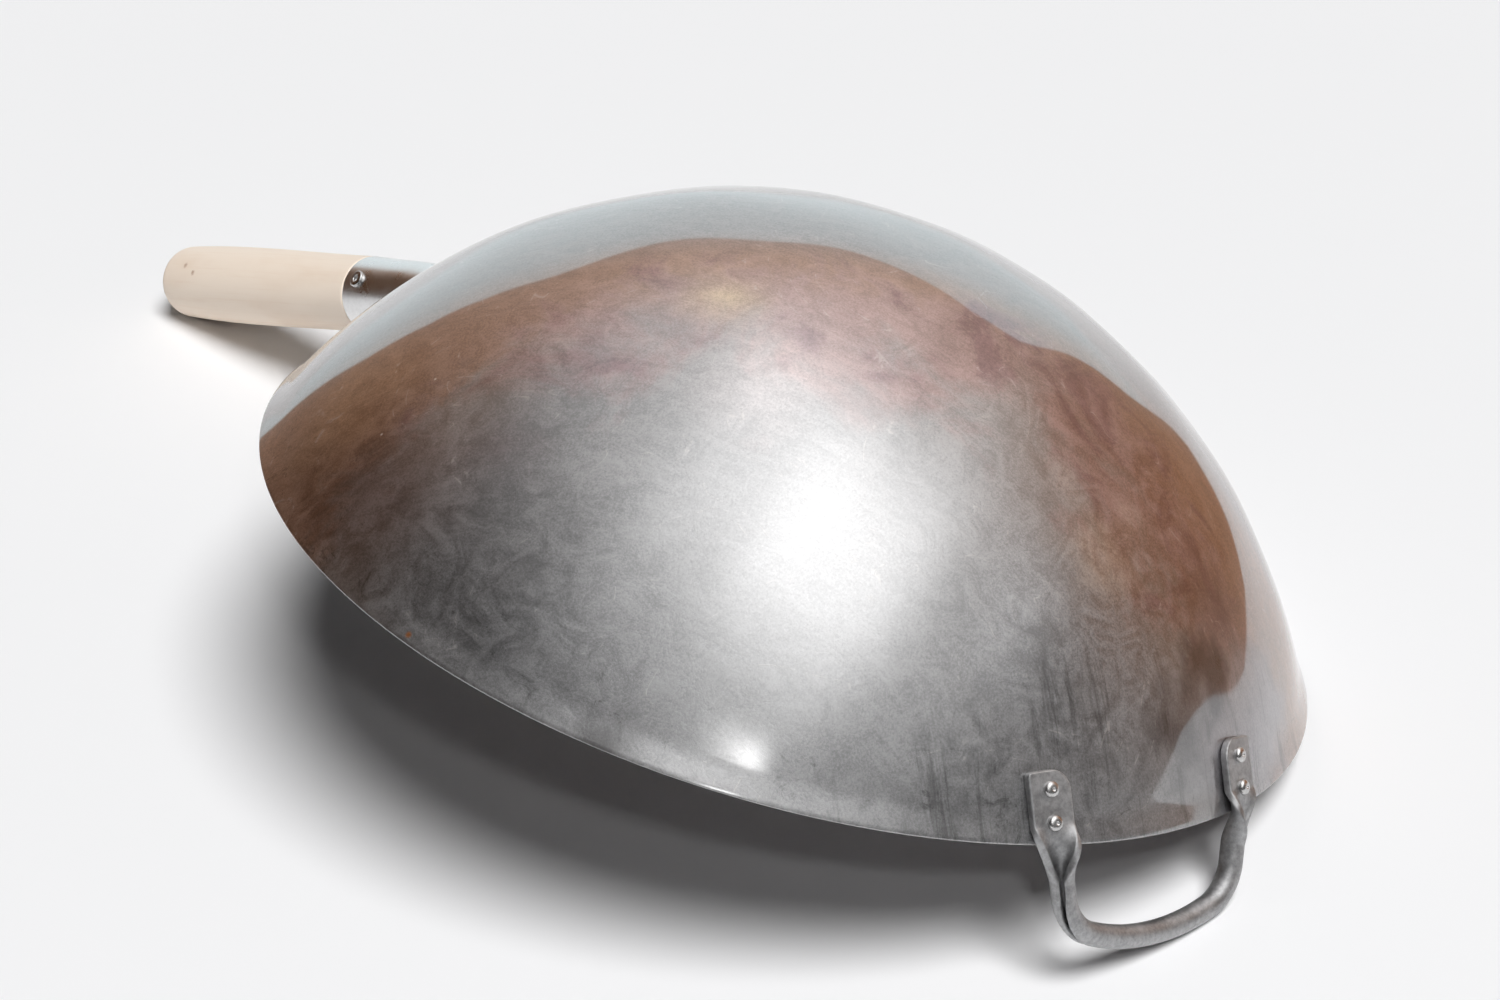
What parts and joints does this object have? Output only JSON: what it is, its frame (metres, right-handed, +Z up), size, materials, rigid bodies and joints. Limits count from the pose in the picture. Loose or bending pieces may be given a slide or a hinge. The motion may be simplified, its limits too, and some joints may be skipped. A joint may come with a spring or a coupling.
{
  "type": "wok",
  "caption": "Round-bottomed carbon steel wok lying upside down, with a wood grip in a riveted steel socket and a rolled steel helper handle.",
  "frame": {"origin": "bottom centre of the whole object's box, on the surface that it rests on", "axes": "+Z up, +X from the wood grip towards the helper handle, the object resting upside down as pictured"},
  "size_m": [0.573, 0.3402, 0.1686],
  "materials": {
    "bowl_steel": "seasoned and heat tinted, satin",
    "handle_steel": "satin with light oxide",
    "rivet_steel": "bright satin",
    "grip_rivet_steel": "satin",
    "grip_wood": "bare, fine sanded, pale"
  },
  "bodies": {
    "root": {"bowl": "bowl_steel", "helper_handle": "handle_steel", "handle_socket": "handle_steel", "grip": "grip_wood", "grip_rivet": "grip_rivet_steel", "helper_rivet_left_upper": "rivet_steel", "helper_rivet_left_lower": "rivet_steel", "helper_rivet_right_upper": "rivet_steel", "helper_rivet_right_lower": "rivet_steel", "tang_rivet_left": "rivet_steel", "tang_rivet_right": "rivet_steel", "tang_rivet_tip": "rivet_steel"}
  },
  "joints": []
}
